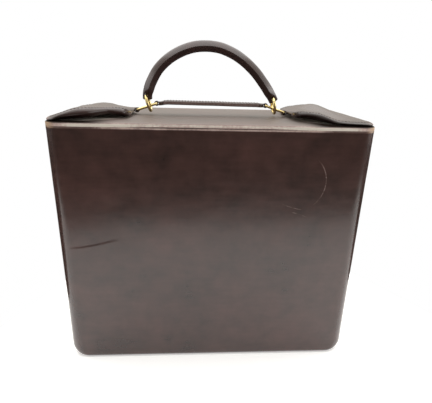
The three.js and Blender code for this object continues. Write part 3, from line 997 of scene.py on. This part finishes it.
marks = [handle_line(share) for share in spread(0, 1, LENGTH_STEPS)]
length = sum((b - a).length for a, b in zip(marks, marks[1:]))
between = spread(END_ROUND, length - END_ROUND, HANDLE_STEPS)
shares = [along / length for along in (*END_STATIONS, *between)]
shares += [1 - along / length for along in reversed(END_STATIONS)]
rings = []
for share in shares:
    middle, out = handle_frame(share)
    from_end = min(share, 1 - share) * length
    rounding = math.sqrt(max(1 - (1 - min((from_end + 0.25) / END_ROUND, 1)) ** 2, 0))
    rolled = smooth_step(TAB_TOP, BODY_FOOT, middle.y)
    depth = TAB_HALF_DEPTH + (HANDLE_HALF_DEPTH - TAB_HALF_DEPTH) * rolled
    depth *= 0.72 + 0.28 * min(rounding * 1.6, 1)
    ring = []
    for angle in around(HANDLE_SIDES):
        outward, y = handle_section(angle, rounding, depth, rolled)
        lump = swell(Vector((middle.x, y, middle.y)), HANDLE_SWELLS)
        spot = middle + out * (outward + lump)
        ring.append((spot.x, y, LID_TOP + spot.y))
    rings.append(ring)
handle = make_piece("handle_leather", *loft(rings), (calf,))
print("handle swept:", len(handle.data.vertices), "points")

# %% [markdown]
# Rings and links are bent from round wire. Geometry Nodes suit them: one tree draws a circle, pulls its
# two halves apart for a link or leaves it round for a ring, and puts a wire round the line. The tree is
# evaluated once for each piece and kept as a plain mesh.

# %% Wire tree
WIRE_STEPS, WIRE_SIDES = 74, 18


def new_tree(name, **inputs):
    """An empty geometry tree with named inputs; returns it with its input and output nodes."""
    tree = bpy.data.node_groups.new(name, "GeometryNodeTree")
    tree.is_modifier = True
    for label, kind in inputs.items():
        tree.interface.new_socket(label, in_out="INPUT", socket_type="NodeSocket" + kind)
    tree.interface.new_socket("Geometry", in_out="OUTPUT", socket_type="NodeSocketGeometry")
    return tree, tree.nodes.new("NodeGroupInput").outputs, tree.nodes.new("NodeGroupOutput")


def pass_on(kind, geometry, **inputs):
    """Adds a node that takes geometry at its first input and gives it on."""
    return add_node(geometry.id_data, "GeometryNode" + kind, {0: geometry, **inputs}).outputs[0]


def finish_tree(geometry, output, material):
    smooth = pass_on("SetShadeSmooth", geometry)
    realized = pass_on("RealizeInstances", smooth)
    feed(output, {"Geometry": pass_on("SetMaterial", realized, Material=material)})


def evaluated(thing):
    """A plain mesh of an object with its modifiers applied."""
    depsgraph = bpy.context.evaluated_depsgraph_get()
    return bpy.data.meshes.new_from_object(thing.evaluated_get(depsgraph))


def grow(name, tree, values, source=None):
    """Evaluates a geometry tree on a source mesh and returns the result as a plain object."""
    seed = add_object(name + "_seed", source or bpy.data.meshes.new(name + "_seed"))
    modifier = seed.modifiers.new("grow", "NODES")
    modifier.node_group = tree
    for item in tree.interface.items_tree:
        if item.in_out == "INPUT" and item.name in values:
            modifier[item.identifier] = values[item.name]
    mesh = evaluated(seed)
    mesh.name = name
    bpy.data.objects.remove(seed)
    return add_object(name, mesh)


bent_wire, given, output = new_tree(
    "bent_wire", bend_radius="Float", half_straight="Float", wire_radius="Float")
bend = {"Resolution": WIRE_STEPS, "Radius": given["bend_radius"]}
circle = add_node(bent_wire, "GeometryNodeCurvePrimitiveCircle", bend).outputs[0]
spot = add_node(bent_wire, "GeometryNodeInputPosition").outputs[0]
half = calculate("SIGN", add_node(bent_wire, "ShaderNodeSeparateXYZ", {0: spot}).outputs["X"])
pull = calculate("MULTIPLY", half, given["half_straight"])
offset = add_node(bent_wire, "ShaderNodeCombineXYZ", {"X": pull}).outputs[0]
drawn = pass_on("SetPosition", circle, Offset=offset)
round_wire = {"Resolution": WIRE_SIDES, "Radius": given["wire_radius"]}
section = add_node(bent_wire, "GeometryNodeCurvePrimitiveCircle", round_wire).outputs[0]
wire = pass_on("CurveToMesh", drawn, **{"Profile Curve": section})
finish_tree(wire, output, brass)
print("wire tree:", len(bent_wire.nodes), "nodes")

# %% [markdown]
# A link lies between an ear's tab and the strap's loop, and slopes up to the strap. A ring goes round the
# link and through the end of the handle. The rings are loose, so both lean with their tops to the left,
# each as far as it can without touching its link when the handle swings.

# %% Links and rings
LINK_HALF_WIDTH, LINK_WIRE = 3.4, 1.3
RING_RADIUS, RING_WIRE, RING_HOLE = 7.9, 1.5, 1.8
RING_X = 65.8
RING_LEANS = {-1: 17, 1: 10}
RING_Z = (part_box("handle_ring_left")[0].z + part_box("handle_ring_left")[1].z) / 2 / MM


def bend_wire(name, radius, straight, wire, place):
    values = {"bend_radius": radius * MM, "half_straight": straight * MM, "wire_radius": wire * MM}
    piece = grow(name, bent_wire, values)
    piece.data.transform(place)
    return piece


def placed(x, z, degrees):
    return Matrix.Translation(Vector((x, 0, z)) * MM) @ turned(degrees, "Y")


def ring_place(side):
    return placed(side * RING_X, RING_Z, 90 - RING_LEANS[side])


link_run = LINK_OUTER - LINK_INNER
link_tilt = math.degrees(math.atan2(-link_run.y, link_run.x))
link_middle = (LINK_OUTER + LINK_INNER) / 2
link_straight = link_run.length / 2 - LINK_HALF_WIDTH
for side, word in SIDES:
    place = placed(side * link_middle.x, link_middle.y, side * link_tilt)
    link = bend_wire(f"link_{word}_wire", LINK_HALF_WIDTH, link_straight, LINK_WIRE, place)
    settle(link, "lid", "brass", f"link_{word}")
    ring = bend_wire(f"ring_{word}_wire", RING_RADIUS, 0, RING_WIRE, ring_place(side))
    settle(ring, "handle", "brass", f"handle_ring_{word}")

# %% [markdown]
# A saddler punches the handle's ends for the rings. Here a Boolean does: a ring of slightly thicker wire
# is cut away where the ring passes, so the hole follows its curve.

# %% Pierce the handle's ends
PIERCED_SHARP_ANGLE = 45

for side in (-1, 1):
    punch = bend_wire("punch", RING_RADIUS, 0, RING_HOLE, ring_place(side))
    cut = handle.modifiers.new("pierce", "BOOLEAN")
    cut.operation = "DIFFERENCE"
    cut.solver = "EXACT"
    cut.object = punch
    pierced = evaluated(handle)
    handle.modifiers.remove(cut)
    bpy.data.objects.remove(punch)
    handle.data = pierced
while len(handle.data.materials) > 1:
    handle.data.materials.pop()
handle.data.polygons.foreach_set("material_index", [0] * len(handle.data.polygons))
handle.data.shade_smooth()
handle.data.set_sharp_from_angle(angle=math.radians(PIERCED_SHARP_ANGLE))
settle(handle, "handle", "leather", "handle")

# %% [markdown]
# Last, the sewing. A row of stitches follows a line on the leather: a second tree walks along the line at
# the stitch pitch and lays a short thread at each step. A stitch is a stretched little ball, which is
# enough at this size.

# %% Stitch tree
STITCH_PITCH, STITCH_LENGTH, THREAD_RADIUS = 3.0, 2.3, 0.32


def sew(name, lines, body):
    """Stitches along lines of points in millimetres, as one piece on a body."""
    points, edges = [], []
    for line in lines:
        first = len(points)
        points += [Vector(point) * MM for point in line]
        edges += [(first + i, first + i + 1) for i in range(len(line) - 1)]
    path = bpy.data.meshes.new(name + "_path")
    path.from_pydata(points, edges, [])
    size = Vector((THREAD_RADIUS, THREAD_RADIUS, STITCH_LENGTH / 2)) * MM
    piece = grow(name, stitch_row, {"pitch": STITCH_PITCH * MM, "size": size}, path)
    settle(piece, body, "leather")


stitch_row, given, output = new_tree("stitch_row", line="Geometry", pitch="Float", size="Vector")
by_pitch = {"Curve": pass_on("MeshToCurve", given["line"]), "Length": given["pitch"]}
steps = add_node(stitch_row, "GeometryNodeResampleCurve", by_pitch, mode="LENGTH").outputs[0]
ball = add_node(stitch_row, "GeometryNodeMeshUVSphere", {"Segments": 8, "Rings": 6, "Radius": 1.0})
stitch = pass_on("Transform", ball.outputs[0], Scale=given["size"])
along = add_node(stitch_row, "GeometryNodeInputTangent").outputs[0]
lay = add_node(stitch_row, "FunctionNodeAlignRotationToVector", {"Vector": along}, axis="Z").outputs[0]
laid = pass_on("InstanceOnPoints", steps, Instance=stitch, Rotation=lay)
finish_tree(laid, output, thread)
print("stitch tree:", len(stitch_row.nodes), "nodes")

# %% [markdown]
# The lines come from the same ear arch, strap and handle section as the leather itself, so the thread
# lies on the surface: inside the shoulders of the ears, along both edges of the strap, and under the
# ridges of the handle, where the hand doesn't rub it.

# %% Sew the ears, the strap and the handle
EAR_SEAM_POINT, EAR_SEAM_STEPS, EAR_SEAM_FROM, EAR_SEAM_TO = 13, 90, 1.2, 10.4
STRAP_SEAM_Y, STRAP_SEAM_STEPS, STRAP_SEAM_SUNK = 4.4, 60, 0.1
HANDLE_SEAM_FROM, HANDLE_SEAM_TO, HANDLE_SEAM_STEPS, HANDLE_SEAM_ANGLE = 0.13, 0.87, 120, 115


def ear_seam(side, far):
    """A line along an ear, just inside its near or far shoulder."""
    line = []
    for at in spread(EAR_SEAM_FROM, EAR_SEAM_TO, EAR_SEAM_STEPS):
        section = ear_section(side, at)
        y, height = ear_arch(section, 0)[-1 - EAR_SEAM_POINT if far else EAR_SEAM_POINT]
        x = side * section.x
        line.append((x, y, LID_TOP + rippled(x, y, height)))
    return line


def strap_seam(y):
    stations = spread(-STRAP_END[-2].x, STRAP_END[-2].x, STRAP_SEAM_STEPS)
    return [(x, y, strap_middle(x) + STRAP_HALF_THICK - STRAP_SEAM_SUNK) for x in stations]


def handle_seam(y_side):
    angle = math.radians(90 - y_side * HANDLE_SEAM_ANGLE)
    outward, y = handle_section(angle, 1, HANDLE_HALF_DEPTH, 1)
    line = []
    for share in spread(HANDLE_SEAM_FROM, HANDLE_SEAM_TO, HANDLE_SEAM_STEPS):
        middle, out = handle_frame(share)
        spot = middle + out * outward
        line.append((spot.x, y, LID_TOP + spot.y))
    return line


for side, word in SIDES:
    sew(f"ear_{word}_stitches", [ear_seam(side, False), ear_seam(side, True)], "lid")
sew("strap_stitches", [strap_seam(-STRAP_SEAM_Y), strap_seam(STRAP_SEAM_Y)], "lid")
sew("handle_stitches", [handle_seam(-1), handle_seam(1)], "handle")
